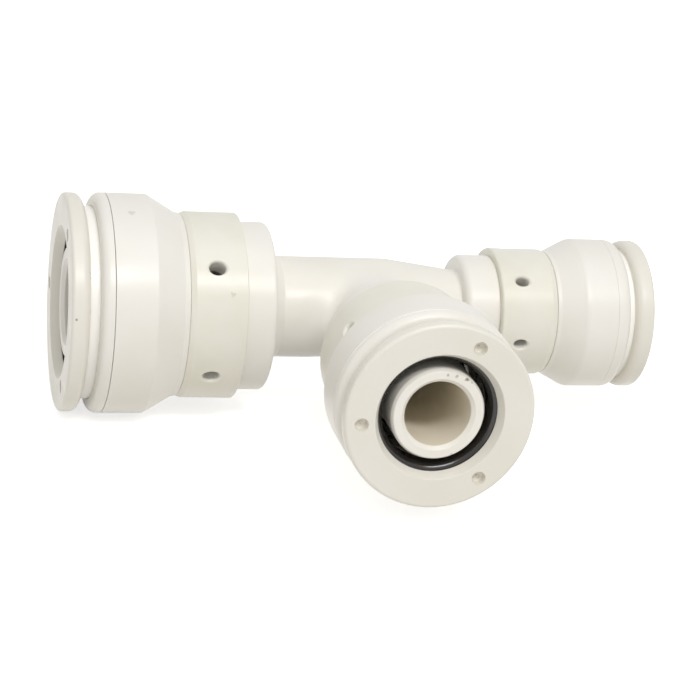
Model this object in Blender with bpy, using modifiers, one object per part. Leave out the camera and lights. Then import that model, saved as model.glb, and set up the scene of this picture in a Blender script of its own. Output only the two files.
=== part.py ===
"""A reducing push-fit tee for plastic water pipe.

The run has a large and a small socket, and a middle-sized branch faces the front. In each socket a release
ring slides inwards to free the pipe. Sizes are in millimetres and become metres where a mesh is made. The tee
lies on z = 0 with its three axes level: the run along X, the large socket at -X, the branch towards -Y.
"""

import math
from dataclasses import dataclass

import bmesh
import bpy
from mathutils import Matrix, Vector

MM = 0.001
SEGMENTS = 24
RING_SEGMENTS = 16
ARC_STEPS = 2

# Clearances
FIT = 0.3
SLIDE = 0.35
PIPE_CLEARANCE = 0.4
NIPPLE_CLEARANCE = 0.3

# Pipes that the sockets take
LARGE_PIPE_OD = 34.0
LARGE_PIPE_WALL = 2.8
BRANCH_PIPE_OD = 27.0
BRANCH_PIPE_WALL = 2.2
SMALL_PIPE_OD = 22.0
SMALL_PIPE_WALL = 1.9

# From the tee's centre to each flange face
LARGE_FACE = 77.9
BRANCH_FACE = 75.1
SMALL_FACE = 71.8

# Walls of each socket, from the pipe inwards
LARGE_NIPPLE_WALL = 3.9
BRANCH_NIPPLE_WALL = 3.2
SMALL_NIPPLE_WALL = 2.6
LARGE_NECK_WALL = 2.75
SMALL_NECK_WALL = 4.1

# How much slimmer than the run the branch's neck is
BRANCH_NECK_STEP = 1.45

# Walls of each socket, from the pipe outwards
LARGE_SEAL_POCKET = 3.35
BRANCH_SEAL_POCKET = 2.05
SMALL_SEAL_POCKET = 1.2
LARGE_WINDOW_WALL = 5.9
BRANCH_WINDOW_WALL = 5.3
SMALL_WINDOW_WALL = 4.8
LARGE_COLLAR_STEP = 2.2
BRANCH_COLLAR_STEP = 2.2
SMALL_COLLAR_STEP = 1.95
LARGE_FLANGE_STEP = 0.25
BRANCH_FLANGE_STEP = 0.2
SMALL_FLANGE_STEP = 0.1

# Lengths along each socket, from the cap inwards
LARGE_CAP_LENGTH = 3.2
BRANCH_CAP_LENGTH = 2.7
SMALL_CAP_LENGTH = 2.7
LARGE_CASING_LENGTH = 10.2
BRANCH_CASING_LENGTH = 10.7
SMALL_CASING_LENGTH = 8.0
LARGE_CONE_LENGTH = 8.3
BRANCH_CONE_LENGTH = 5.1
SMALL_CONE_LENGTH = 7.4
LARGE_WINDOW_LENGTH = 14.4
BRANCH_WINDOW_LENGTH = 14.4
SMALL_WINDOW_LENGTH = 14.6
LARGE_COLLAR_LENGTH = 7.7
BRANCH_COLLAR_LENGTH = 8.5
SMALL_COLLAR_LENGTH = 8.8

# Release ring
FLANGE_RIM = 2.6
FLANGE_BACK = 2.2
FLANGE_EDGE = 0.8
GROOVE_DEPTH = 3.2
RELEASE_GAP = 2.4
RELEASE_TRAVEL = 1.2
HUB_REACH = 0.3
SLEEVE_WALL = 1.4
LIP_DEPTH = 2.6
LIP_FLARE = 0.6
BARB_RISE = 3.2
BARB_LEAD = 0.7
DIMPLES = 3
DIMPLE_D = 3.2
DIMPLE_DEPTH = 1.4
DIMPLE_INSET = 3.75
DIMPLE_TURN = -24.0
DIMPLE_SIDES = 8

# Mouth seal
SEAL_LENGTH = 5.0
SEAL_SQUEEZE = 0.9
SEAL_CHAMFER = 0.6

# Cap
CAP_ROUND = 2.0
CAP_SKIRT_WALL = 1.0
BARB_HOLD = 0.9

# Casing
CASING_WALL = 2.6
CONE_STEP = 0.7
WEB_THICKNESS = 2.0

# Window sleeve
WINDOW_STEP = 2.2
WINDOW_CHAMFER = 0.8
TENON_LENGTH = 4.0
SIGHT_LENGTH = 4.4
SIGHT_WIDTH = 3.6
SIGHT_SIDES = 8
LARGE_SIGHT_LEVEL = 7.6
BRANCH_SIGHT_LEVEL = 7.0
SMALL_SIGHT_LEVEL = 6.0
LARGE_SIGHTS = 5
BRANCH_SIGHTS = 5
SMALL_SIGHTS = 6
LARGE_SIGHT_TURN = -48.5
BRANCH_SIGHT_TURN = 55.0
SMALL_SIGHT_TURN = 43.0

# Grab ring and its spacer
GRAB_SHEET = 0.8
TOOTH_ROOT = 2.4
TOOTH_BITE = 0.25
TOOTH_SLOPE = 35.0
TOOTH_PITCH = 8.0
TOOTH_GAP = 1.5
SPACER_HEIGHT = 3.4

# Nipples and their O-rings
NIPPLE_SETBACK = 1.7
NIPPLE_LEAD = 1.6
NIPPLE_CHAMFER = 0.8
MOUTH_CHAMFER = 0.9
O_RING_SECTION = 2.0
O_RING_SIDES = 6
O_RING_FIRST = 13.0
O_RING_PITCH = 7.5
GROOVE_FLOOR = 1.5

# Tee body
SPIGOT_LENGTH = 3.2
SPIGOT_WALL = 1.8
COLLAR_ROUND = 2.2
COLLAR_FILLET = 2.4
TAPER_START = 5.0
CROTCH_RADIUS = 6.0
CROTCH_SINK = 0.2
CROTCH_STEPS = 4

# Room that a cutter takes past the faces it cuts
OVERCUT = 1.0


@dataclass(frozen=True)
class Socket:
    """One socket: its driving sizes, and the levels and radii that its pieces share.

    A level is a distance from the tee's centre, outwards along the socket's own axis.
    """

    name: str
    outwards: Vector
    pipe_od: float
    pipe_wall: float
    face: float
    nipple_wall: float
    neck_r: float
    seal_pocket: float
    window_wall: float
    collar_step: float
    flange_step: float
    cap_length: float
    casing_length: float
    cone_length: float
    window_length: float
    collar_length: float
    sights: int
    sight_level: float
    sight_turn: float

    # Outside levels, from the flange inwards
    @property
    def rim_back(self):
        return self.face - FLANGE_RIM

    @property
    def flange_back(self):
        return self.rim_back - FLANGE_BACK

    @property
    def cap_front(self):
        return self.flange_back - RELEASE_GAP

    @property
    def seam(self):
        return self.cap_front - self.cap_length

    @property
    def cone_front(self):
        return self.seam - self.casing_length

    @property
    def window_front(self):
        return self.cone_front - self.cone_length

    @property
    def collar_face(self):
        return self.window_front - self.window_length

    @property
    def collar_back(self):
        return self.collar_face - self.collar_length

    # Inside levels, from the window sleeve outwards
    @property
    def spigot_front(self):
        return self.collar_face + SPIGOT_LENGTH

    @property
    def tenon_front(self):
        return self.window_front + TENON_LENGTH

    @property
    def web_back(self):
        return self.tenon_front + FIT

    @property
    def web_front(self):
        return self.web_back + WEB_THICKNESS

    @property
    def spacer_back(self):
        return self.web_front + FIT

    @property
    def spacer_front(self):
        return self.spacer_back + SPACER_HEIGHT

    @property
    def grab_back(self):
        return self.spacer_front + FIT

    @property
    def grab_front(self):
        return self.grab_back + GRAB_SHEET

    @property
    def cap_back(self):
        return self.grab_front + FIT

    @property
    def barb_front(self):
        return self.cap_back + BARB_RISE

    @property
    def lip_back(self):
        return self.face - LIP_DEPTH

    @property
    def seal_front(self):
        return self.lip_back - FIT

    @property
    def seal_back(self):
        return self.seal_front - SEAL_LENGTH

    @property
    def hub_back(self):
        return self.cap_front - HUB_REACH

    @property
    def nipple_tip(self):
        return self.face - NIPPLE_SETBACK

    # Radii inside the pipe
    @property
    def pipe_r(self):
        return self.pipe_od / 2

    @property
    def nipple_r(self):
        return self.pipe_r - self.pipe_wall - NIPPLE_CLEARANCE

    @property
    def groove_r(self):
        return self.nipple_r - GROOVE_FLOOR

    @property
    def bore_r(self):
        return self.nipple_r - self.nipple_wall

    # Radii outside the pipe, from its way to the casing
    @property
    def way_r(self):
        return self.pipe_r + PIPE_CLEARANCE

    @property
    def lip_r(self):
        return self.way_r + LIP_FLARE

    @property
    def pocket_r(self):
        return self.way_r + self.seal_pocket

    @property
    def sleeve_r(self):
        return self.pocket_r + SLEEVE_WALL

    @property
    def cap_bore_r(self):
        return self.sleeve_r + SLIDE

    @property
    def skirt_r(self):
        return self.cap_bore_r + BARB_HOLD

    @property
    def barb_r(self):
        return self.skirt_r - SLIDE

    @property
    def plug_r(self):
        return self.skirt_r + CAP_SKIRT_WALL

    @property
    def chamber_r(self):
        return self.plug_r + FIT

    @property
    def casing_r(self):
        return self.chamber_r + CASING_WALL

    @property
    def flange_r(self):
        return self.casing_r - self.flange_step

    @property
    def hub_r(self):
        return self.flange_r - GROOVE_DEPTH

    @property
    def tooth_root_r(self):
        return self.way_r + TOOTH_ROOT

    @property
    def tooth_tip_r(self):
        return self.pipe_r - TOOTH_BITE

    # Radii of the window sleeve and of the collar that carries it
    @property
    def spigot_r(self):
        return self.way_r + SPIGOT_WALL

    @property
    def window_r(self):
        return self.way_r + self.window_wall

    @property
    def tenon_r(self):
        return self.window_r - WINDOW_STEP

    @property
    def collar_r(self):
        return self.window_r - self.collar_step

    def tooth_drop(self, radius):
        """How far the sloping teeth lie below the grab ring's flat at this radius."""
        return (self.tooth_root_r - radius) * math.tan(math.radians(TOOTH_SLOPE))


def bore_radius(pipe_od, pipe_wall, nipple_wall):
    """The waterway's radius inside a nipple that fits the pipe."""
    return pipe_od / 2 - pipe_wall - NIPPLE_CLEARANCE - nipple_wall


LARGE_NECK_R = bore_radius(LARGE_PIPE_OD, LARGE_PIPE_WALL, LARGE_NIPPLE_WALL) + LARGE_NECK_WALL
BRANCH_NECK_R = LARGE_NECK_R - BRANCH_NECK_STEP
SMALL_NECK_R = bore_radius(SMALL_PIPE_OD, SMALL_PIPE_WALL, SMALL_NIPPLE_WALL) + SMALL_NECK_WALL

LARGE = Socket(
    name="large",
    outwards=Vector((-1, 0, 0)),
    pipe_od=LARGE_PIPE_OD,
    pipe_wall=LARGE_PIPE_WALL,
    face=LARGE_FACE,
    nipple_wall=LARGE_NIPPLE_WALL,
    neck_r=LARGE_NECK_R,
    seal_pocket=LARGE_SEAL_POCKET,
    window_wall=LARGE_WINDOW_WALL,
    collar_step=LARGE_COLLAR_STEP,
    flange_step=LARGE_FLANGE_STEP,
    cap_length=LARGE_CAP_LENGTH,
    casing_length=LARGE_CASING_LENGTH,
    cone_length=LARGE_CONE_LENGTH,
    window_length=LARGE_WINDOW_LENGTH,
    collar_length=LARGE_COLLAR_LENGTH,
    sights=LARGE_SIGHTS,
    sight_level=LARGE_SIGHT_LEVEL,
    sight_turn=LARGE_SIGHT_TURN,
)
BRANCH = Socket(
    name="branch",
    outwards=Vector((0, -1, 0)),
    pipe_od=BRANCH_PIPE_OD,
    pipe_wall=BRANCH_PIPE_WALL,
    face=BRANCH_FACE,
    nipple_wall=BRANCH_NIPPLE_WALL,
    neck_r=BRANCH_NECK_R,
    seal_pocket=BRANCH_SEAL_POCKET,
    window_wall=BRANCH_WINDOW_WALL,
    collar_step=BRANCH_COLLAR_STEP,
    flange_step=BRANCH_FLANGE_STEP,
    cap_length=BRANCH_CAP_LENGTH,
    casing_length=BRANCH_CASING_LENGTH,
    cone_length=BRANCH_CONE_LENGTH,
    window_length=BRANCH_WINDOW_LENGTH,
    collar_length=BRANCH_COLLAR_LENGTH,
    sights=BRANCH_SIGHTS,
    sight_level=BRANCH_SIGHT_LEVEL,
    sight_turn=BRANCH_SIGHT_TURN,
)
SMALL = Socket(
    name="small",
    outwards=Vector((1, 0, 0)),
    pipe_od=SMALL_PIPE_OD,
    pipe_wall=SMALL_PIPE_WALL,
    face=SMALL_FACE,
    nipple_wall=SMALL_NIPPLE_WALL,
    neck_r=SMALL_NECK_R,
    seal_pocket=SMALL_SEAL_POCKET,
    window_wall=SMALL_WINDOW_WALL,
    collar_step=SMALL_COLLAR_STEP,
    flange_step=SMALL_FLANGE_STEP,
    cap_length=SMALL_CAP_LENGTH,
    casing_length=SMALL_CASING_LENGTH,
    cone_length=SMALL_CONE_LENGTH,
    window_length=SMALL_WINDOW_LENGTH,
    collar_length=SMALL_COLLAR_LENGTH,
    sights=SMALL_SIGHTS,
    sight_level=SMALL_SIGHT_LEVEL,
    sight_turn=SMALL_SIGHT_TURN,
)

# The tee's centre: the box round the part is centred on x and y, and its lowest point is at z = 0
CENTRE = Vector(((LARGE_FACE - SMALL_FACE) / 2, (BRANCH_FACE - LARGE.casing_r) / 2, LARGE.casing_r))
UP = Vector((0, 0, 1))


def clear_scene():
    for obj in list(bpy.data.objects):
        bpy.data.objects.remove(obj, do_unlink=True)


def new_collection(name):
    collection = bpy.data.collections.new(name)
    bpy.context.scene.collection.children.link(collection)
    return collection


def new_material(name, colour, roughness, metallic=0.0):
    material = bpy.data.materials.new(name)
    material.use_nodes = True
    shader = material.node_tree.nodes["Principled BSDF"]
    shader.inputs["Base Color"].default_value = (*colour, 1.0)
    shader.inputs["Roughness"].default_value = roughness
    shader.inputs["Metallic"].default_value = metallic
    material.diffuse_color = (*colour, 1.0)
    return material


def placement(socket):
    """The matrix that takes a socket's own frame, with Z outwards and X up, to the world."""
    across = socket.outwards.cross(UP)
    turn = Matrix((UP, across, socket.outwards)).transposed().to_4x4()
    return Matrix.Translation(CENTRE * MM) @ turn


def arc(centre, radii, start, end, steps=ARC_STEPS):
    """Points of a quarter arc or ellipse in a profile, from start to end in degrees."""
    points = []
    for step in range(steps + 1):
        angle = math.radians(start + (end - start) * step / steps)
        points.append((centre[0] + radii[0] * math.cos(angle), centre[1] + radii[1] * math.sin(angle)))
    return points


def new_object(name, mesh, collection, matrix, material=None):
    obj = bpy.data.objects.new(name, mesh)
    collection.objects.link(obj)
    obj.matrix_world = matrix
    if material:
        mesh.materials.append(material)
    return obj


def make_helper(obj):
    obj.hide_render = True
    obj.display_type = "WIRE"
    return obj


def turned(name, profile, collection, matrix, material=None, closed=True, segments=SEGMENTS):
    """A profile of (radius, level) points turned about Z. A closed one makes a ring, an open one a solid."""
    mesh = bpy.data.meshes.new(name)
    edges = [(i, i + 1) for i in range(len(profile) - 1)]
    if closed:
        edges.append((len(profile) - 1, 0))
    mesh.from_pydata([(radius * MM, 0, level * MM) for radius, level in profile], edges, [])
    obj = new_object(name, mesh, collection, matrix, material)
    screw = obj.modifiers.new("Turn", "SCREW")
    screw.axis = "Z"
    screw.angle = math.tau
    screw.steps = segments
    screw.render_steps = segments
    screw.use_merge_vertices = True
    screw.merge_threshold = 0.00001
    screw.use_smooth_shade = True
    return obj


def add_boolean(obj, other, operation):
    boolean = obj.modifiers.new(f"{operation.title()} {other.name}", "BOOLEAN")
    boolean.operation = operation
    boolean.solver = "EXACT"
    boolean.object = other


def mesh_object(name, build, collection, matrix):
    """An object whose mesh the function build fills, in millimetres."""
    shape = bmesh.new()
    build(shape)
    bmesh.ops.recalc_face_normals(shape, faces=shape.faces)
    bmesh.ops.scale(shape, vec=Vector((MM, MM, MM)), verts=shape.verts)
    mesh = bpy.data.meshes.new(name)
    shape.to_mesh(mesh)
    shape.free()
    return new_object(name, mesh, collection, matrix)


def o_ring_levels(socket):
    first = socket.collar_face + O_RING_FIRST
    return {"inner": first, "outer": first + O_RING_PITCH}


def nipple_and_collar(socket):
    """Half of a profile: from the nipple's tip on the axis to the neck behind the collar."""
    half_groove = O_RING_SECTION / 2 + FIT
    profile = [
        (0, socket.nipple_tip),
        (socket.nipple_r - NIPPLE_CHAMFER, socket.nipple_tip),
        (socket.nipple_r, socket.nipple_tip - NIPPLE_LEAD),
    ]
    for level in reversed(o_ring_levels(socket).values()):
        profile += [
            (socket.nipple_r, level + half_groove),
            (socket.groove_r, level + half_groove),
            (socket.groove_r, level - half_groove),
            (socket.nipple_r, level - half_groove),
        ]
    profile += [
        (socket.nipple_r, socket.collar_face),
        (socket.way_r, socket.collar_face),
        (socket.way_r, socket.spigot_front),
        (socket.spigot_r, socket.spigot_front),
        (socket.spigot_r, socket.collar_face),
        (socket.collar_r, socket.collar_face),
    ]
    edge = (socket.collar_r - COLLAR_ROUND, socket.collar_back + COLLAR_ROUND)
    profile += arc(edge, (COLLAR_ROUND, COLLAR_ROUND), 0, -90)
    hollow = (socket.neck_r + COLLAR_FILLET, socket.collar_back - COLLAR_FILLET)
    profile += arc(hollow, (COLLAR_FILLET, COLLAR_FILLET), 90, 180)
    return profile


def run_radius(x):
    """The outside radius of the run at x: level to the taper, then narrowing to the small neck."""
    taper_end = SMALL.collar_back - COLLAR_FILLET
    share = min(max((x - TAPER_START) / (taper_end - TAPER_START), 0), 1)
    return LARGE.neck_r + (SMALL.neck_r - LARGE.neck_r) * share


def build_crotch(shape):
    """A fillet that follows a ball rolled round the saddle where the branch leaves the run.

    Each section has the ball's arc, from the branch's neck to the run, and a corner buried in both.
    """
    reach = BRANCH.neck_r + CROTCH_RADIUS
    sections = []
    for segment in range(SEGMENTS):
        angle = math.tau * segment / SEGMENTS
        x = reach * math.sin(angle)
        z = reach * math.cos(angle)
        run_r = run_radius(x)
        ball_y = math.sqrt((run_r + CROTCH_RADIUS) ** 2 - z**2)
        ball = Vector((x, -ball_y, z))
        neck_share = (BRANCH.neck_r - CROTCH_SINK) / reach
        on_neck = Vector((x * neck_share, -ball_y, z * neck_share))
        run_share = (run_r - CROTCH_SINK) / (run_r + CROTCH_RADIUS)
        on_run = Vector((x, -ball_y * run_share, z * run_share))
        buried = Vector((on_neck.x, on_run.y, on_run.z)) * neck_share
        first = on_neck - ball
        swing = first.rotation_difference(on_run - ball)
        section = [shape.verts.new(buried)]
        for step in range(CROTCH_STEPS + 1):
            share = step / CROTCH_STEPS
            length = first.length + ((on_run - ball).length - first.length) * share
            turn = Matrix.Rotation(swing.angle * share, 3, swing.axis)
            section.append(shape.verts.new(ball + (turn @ first).normalized() * length))
        sections.append(section)
    for index, section in enumerate(sections):
        following = sections[(index + 1) % len(sections)]
        for corner in range(len(section)):
            after = (corner + 1) % len(section)
            shape.faces.new((section[corner], section[after], following[after], following[corner]))


def waterway(socket):
    """The top of a bore's profile: a chamfered mouth past the nipple's tip, then the bore."""
    mouth_r = socket.bore_r + MOUTH_CHAMFER
    return [
        (0, socket.nipple_tip + OVERCUT),
        (mouth_r, socket.nipple_tip + OVERCUT),
        (mouth_r, socket.nipple_tip),
        (socket.bore_r, socket.nipple_tip - MOUTH_CHAMFER),
    ]


def downwards(profile):
    """A half profile of the socket at the other end, turned to run on down the same axis."""
    return [(radius, -level) for radius, level in reversed(profile)]


def build_tee_body(parts, helpers, material):
    along_run = placement(SMALL)
    along_branch = placement(BRANCH)
    level_neck = [(LARGE.neck_r, TAPER_START)]
    outside = nipple_and_collar(SMALL) + level_neck + downwards(nipple_and_collar(LARGE))
    body = turned("tee_body", outside, parts, along_run, material, closed=False)

    branch_outside = nipple_and_collar(BRANCH) + [(BRANCH.neck_r, 0), (0, 0)]
    branch = turned("branch_outside", branch_outside, helpers, along_branch, closed=False)
    crotch = mesh_object("crotch_fillet", build_crotch, helpers, Matrix.Translation(CENTRE * MM))

    taper_end = SMALL.collar_back
    bore_taper = [(SMALL.bore_r, taper_end), (LARGE.bore_r, TAPER_START)]
    run_bore = waterway(SMALL) + bore_taper + downwards(waterway(LARGE))
    run_way = turned("run_waterway", run_bore, helpers, along_run, closed=False, segments=RING_SEGMENTS)
    branch_bore = waterway(BRANCH) + [(BRANCH.bore_r, 0), (0, 0)]
    branch_way = turned(
        "branch_waterway", branch_bore, helpers, along_branch, closed=False, segments=RING_SEGMENTS
    )

    for helper, operation in (
        (branch, "UNION"),
        (crotch, "UNION"),
        (run_way, "DIFFERENCE"),
        (branch_way, "DIFFERENCE"),
    ):
        add_boolean(body, make_helper(helper), operation)


def build_o_rings(socket, parts, material):
    section_r = O_RING_SECTION / 2
    centre_r = socket.groove_r + FIT + section_r
    for place, level in o_ring_levels(socket).items():
        section = arc((centre_r, level), (section_r, section_r), 90, -270, O_RING_SIDES)[:-1]
        name = f"{socket.name}_o_ring_{place}"
        turned(name, section, parts, placement(socket), material, segments=RING_SEGMENTS)


def build_window_sleeve(socket, parts, helpers, material):
    back = socket.collar_face + FIT
    profile = [
        (socket.way_r, socket.tenon_front),
        (socket.tenon_r, socket.tenon_front),
        (socket.tenon_r, socket.window_front),
        (socket.window_r, socket.window_front),
        (socket.window_r, back + WINDOW_CHAMFER),
        (socket.window_r - WINDOW_CHAMFER, back),
        (socket.spigot_r + FIT, back),
        (socket.spigot_r + FIT, socket.spigot_front + FIT),
        (socket.way_r, socket.spigot_front + FIT),
    ]
    name = f"{socket.name}_window_sleeve"
    sleeve = turned(name, profile, parts, placement(socket), material)

    def build_sights(shape):
        """Oval holes through the wall, longer along the axis, just past the pipe's stop."""
        depth = socket.window_r - socket.way_r + 2 * OVERCUT
        level = socket.collar_face + socket.sight_level
        for sight in range(socket.sights):
            angle = math.radians(socket.sight_turn) + math.tau * sight / socket.sights
            oval = Matrix.Diagonal((SIGHT_LENGTH / 2, SIGHT_WIDTH / 2, 1, 1))
            outwards = Matrix.Rotation(math.pi / 2, 4, "Y")
            middle = Matrix.Translation(((socket.window_r + socket.way_r) / 2, 0, level))
            place = Matrix.Rotation(angle, 4, "Z") @ middle @ outwards @ oval
            bmesh.ops.create_cone(
                shape, cap_ends=True, segments=SIGHT_SIDES, radius1=1, radius2=1, depth=depth, matrix=place
            )

    sights = mesh_object(f"{socket.name}_sight_holes", build_sights, helpers, placement(socket))
    add_boolean(sleeve, make_helper(sights), "DIFFERENCE")


def build_casing(socket, parts, material):
    profile = [
        (socket.chamber_r, socket.seam),
        (socket.casing_r, socket.seam),
        (socket.casing_r, socket.cone_front),
        (socket.window_r - CONE_STEP, socket.window_front + FIT),
        (socket.tenon_r + FIT, socket.window_front + FIT),
        (socket.tenon_r + FIT, socket.web_back),
        (socket.way_r, socket.web_back),
        (socket.way_r, socket.web_front),
        (socket.chamber_r, socket.web_front),
    ]
    turned(f"{socket.name}_casing", profile, parts, placement(socket), material)


def build_spacer(socket, parts, material):
    profile = [
        (socket.tooth_root_r, socket.spacer_front),
        (socket.plug_r, socket.spacer_front),
        (socket.plug_r, socket.spacer_back),
        (socket.way_r, socket.spacer_back),
        (socket.way_r, socket.spacer_front - socket.tooth_drop(socket.way_r)),
    ]
    turned(f"{socket.name}_spacer", profile, parts, placement(socket), material, segments=RING_SEGMENTS)


def build_grab_ring(socket, parts, helpers, material):
    tip_drop = socket.tooth_drop(socket.tooth_tip_r)
    profile = [
        (socket.tooth_root_r, socket.grab_front),
        (socket.plug_r, socket.grab_front),
        (socket.plug_r, socket.grab_back),
        (socket.tooth_root_r, socket.grab_back),
        (socket.tooth_tip_r, socket.grab_back - tip_drop),
        (socket.tooth_tip_r, socket.grab_front - tip_drop),
    ]
    name = f"{socket.name}_grab_ring"
    ring = turned(name, profile, parts, placement(socket), material, segments=RING_SEGMENTS)

    def build_slots(shape):
        """Radial slots that part the teeth, open at the tips and square at the root."""
        teeth = round(math.tau * socket.tooth_root_r / TOOTH_PITCH)
        inner = socket.tooth_tip_r - OVERCUT
        length = socket.tooth_root_r - inner
        top = socket.grab_front + OVERCUT
        height = top - (socket.grab_back - tip_drop - OVERCUT)
        for tooth in range(teeth):
            middle = Matrix.Translation((inner + length / 2, 0, top - height / 2))
            size = Matrix.Diagonal((length, TOOTH_GAP, height, 1))
            place = Matrix.Rotation(math.tau * tooth / teeth, 4, "Z") @ middle @ size
            bmesh.ops.create_cube(shape, size=1, matrix=place)

    slots = mesh_object(f"{socket.name}_tooth_slots", build_slots, helpers, placement(socket))
    add_boolean(ring, make_helper(slots), "DIFFERENCE")


def build_cap(socket, parts, material):
    recess_r = socket.hub_r + SLIDE
    recess_floor = socket.hub_back - RELEASE_TRAVEL - FIT
    step = socket.barb_front + FIT
    shoulder = (socket.casing_r - CAP_ROUND, socket.cap_front - CAP_ROUND)
    profile = [(recess_r, socket.cap_front)]
    profile += arc(shoulder, (CAP_ROUND, CAP_ROUND), 90, 0)
    profile += [
        (socket.casing_r, socket.seam + FIT),
        (socket.plug_r, socket.seam + FIT),
        (socket.plug_r, socket.cap_back),
        (socket.skirt_r, socket.cap_back),
        (socket.skirt_r, step),
        (socket.cap_bore_r, step),
        (socket.cap_bore_r, recess_floor),
        (recess_r, recess_floor),
    ]
    turned(f"{socket.name}_cap", profile, parts, placement(socket), material)


def build_release_ring(socket, parts, helpers, material):
    nose = socket.cap_back + RELEASE_TRAVEL
    edge = (socket.flange_r - FLANGE_EDGE, socket.face - FLANGE_EDGE)
    profile = [(socket.lip_r, socket.face)]
    profile += arc(edge, (FLANGE_EDGE, FLANGE_EDGE), 90, 0, 1)
    profile += arc((socket.hub_r, socket.rim_back), (GROOVE_DEPTH, FLANGE_BACK), 0, -90)
    profile += [
        (socket.hub_r, socket.hub_back),
        (socket.sleeve_r, socket.hub_back),
        (socket.sleeve_r, socket.barb_front),
        (socket.barb_r, socket.barb_front),
        (socket.barb_r, nose + BARB_LEAD),
        (socket.barb_r - BARB_LEAD, nose),
        (socket.tooth_root_r, nose),
        (socket.way_r, nose - socket.tooth_drop(socket.way_r)),
        (socket.way_r, socket.seal_back - FIT),
        (socket.pocket_r, socket.seal_back - FIT),
        (socket.pocket_r, socket.lip_back),
        (socket.way_r, socket.lip_back),
    ]
    name = f"{socket.name}_release_ring"
    ring = turned(name, profile, parts, placement(socket), material)

    def build_dimples(shape):
        """Shallow round dimples in the flange face, where the mould was filled."""
        depth = DIMPLE_DEPTH + OVERCUT
        for dimple in range(DIMPLES):
            angle = math.radians(DIMPLE_TURN) + math.tau * dimple / DIMPLES
            level = socket.face - DIMPLE_DEPTH + depth / 2
            middle = Matrix.Translation((socket.lip_r + DIMPLE_INSET, 0, level))
            round_hole = Matrix.Diagonal((DIMPLE_D / 2, DIMPLE_D / 2, 1, 1))
            place = Matrix.Rotation(angle, 4, "Z") @ middle @ round_hole
            bmesh.ops.create_cone(
                shape, cap_ends=True, segments=DIMPLE_SIDES, radius1=1, radius2=1, depth=depth, matrix=place
            )

    dimples = mesh_object(f"{socket.name}_gate_dimples", build_dimples, helpers, placement(socket))
    add_boolean(ring, make_helper(dimples), "DIFFERENCE")


def build_mouth_seal(socket, parts, material):
    inner = socket.pipe_r - SEAL_SQUEEZE
    outer = socket.pocket_r - FIT
    profile = [
        (inner + SEAL_CHAMFER, socket.seal_front),
        (outer, socket.seal_front),
        (outer, socket.seal_back),
        (inner + SEAL_CHAMFER, socket.seal_back),
        (inner, socket.seal_back + SEAL_CHAMFER),
        (inner, socket.seal_front - SEAL_CHAMFER),
    ]
    turned(f"{socket.name}_mouth_seal", profile, parts, placement(socket), material)


def main():
    clear_scene()
    parts = new_collection("tee_fitting")
    helpers = new_collection("cutters")

    white = (0.80, 0.77, 0.72)
    rubber = (0.012, 0.012, 0.013)
    build_tee_body(parts, helpers, new_material("body_plastic", white, 0.35))
    for socket in (LARGE, BRANCH, SMALL):
        build_o_rings(socket, parts, new_material(f"{socket.name}_o_ring_rubber", rubber, 0.45))
        window = new_material(f"{socket.name}_window_plastic", (0.70, 0.69, 0.56), 0.4)
        build_window_sleeve(socket, parts, helpers, window)
        build_casing(socket, parts, new_material(f"{socket.name}_casing_plastic", white, 0.35))
        build_spacer(socket, parts, new_material(f"{socket.name}_spacer_plastic", (0.62, 0.60, 0.55), 0.4))
        steel = new_material(f"{socket.name}_grab_steel", (0.60, 0.60, 0.61), 0.3, 1.0)
        build_grab_ring(socket, parts, helpers, steel)
        build_cap(socket, parts, new_material(f"{socket.name}_cap_plastic", white, 0.35))
        flange = new_material(f"{socket.name}_release_plastic", white, 0.35)
        build_release_ring(socket, parts, helpers, flange)
        build_mouth_seal(socket, parts, new_material(f"{socket.name}_seal_rubber", rubber, 0.2))


main()
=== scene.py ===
"""The finished look of a reducing push-fit tee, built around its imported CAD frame.

Every piece is turned, cut and smoothed in the frame's own place. Sizes are in millimetres, and levels run
outwards from the tee's centre along each socket. Both become metres where a mesh is made.
"""

import logging
import math
from abc import ABC, abstractmethod
from dataclasses import dataclass
from enum import Enum
from functools import cache

import bmesh
import bpy
from mathutils import Matrix, Vector


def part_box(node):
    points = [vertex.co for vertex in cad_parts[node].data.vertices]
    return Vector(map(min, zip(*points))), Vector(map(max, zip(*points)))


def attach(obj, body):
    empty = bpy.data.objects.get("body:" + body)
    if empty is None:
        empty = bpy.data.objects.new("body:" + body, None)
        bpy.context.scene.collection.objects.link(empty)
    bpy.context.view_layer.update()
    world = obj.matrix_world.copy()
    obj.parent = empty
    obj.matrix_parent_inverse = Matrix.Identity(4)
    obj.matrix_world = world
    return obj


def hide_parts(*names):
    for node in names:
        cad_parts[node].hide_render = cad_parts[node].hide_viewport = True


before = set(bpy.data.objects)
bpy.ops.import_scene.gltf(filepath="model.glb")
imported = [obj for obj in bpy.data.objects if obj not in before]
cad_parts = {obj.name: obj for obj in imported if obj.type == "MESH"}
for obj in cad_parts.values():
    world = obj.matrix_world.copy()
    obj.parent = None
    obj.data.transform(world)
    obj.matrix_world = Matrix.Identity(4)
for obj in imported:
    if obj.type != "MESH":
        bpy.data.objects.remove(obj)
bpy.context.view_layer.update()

LOG = logging.getLogger("tee")
MM = 0.001
UP = Vector((0, 0, 1))

# Steps round each kind of turned piece and cutter, and in a quarter of a rounded corner
STEPS = 128
RING_STEPS = 96
SIGHT_STEPS = 48
DIMPLE_STEPS = 40
CORD_STEPS = 24
CORNER_STEPS = 7

# Clearances that the CAD keeps between its pieces and round the pipe
FIT = 0.3
SLIDE = 0.35
PIPE_CLEARANCE = 0.4

# Length and wall of the tee's spigot inside each window sleeve
SPIGOT_LENGTH = 3.2
SPIGOT_WALL = 1.8

# How far a cutter reaches past the faces that it cuts, and how near two points are one
OVERCUT = 1.0
WELD = 0.002

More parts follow.
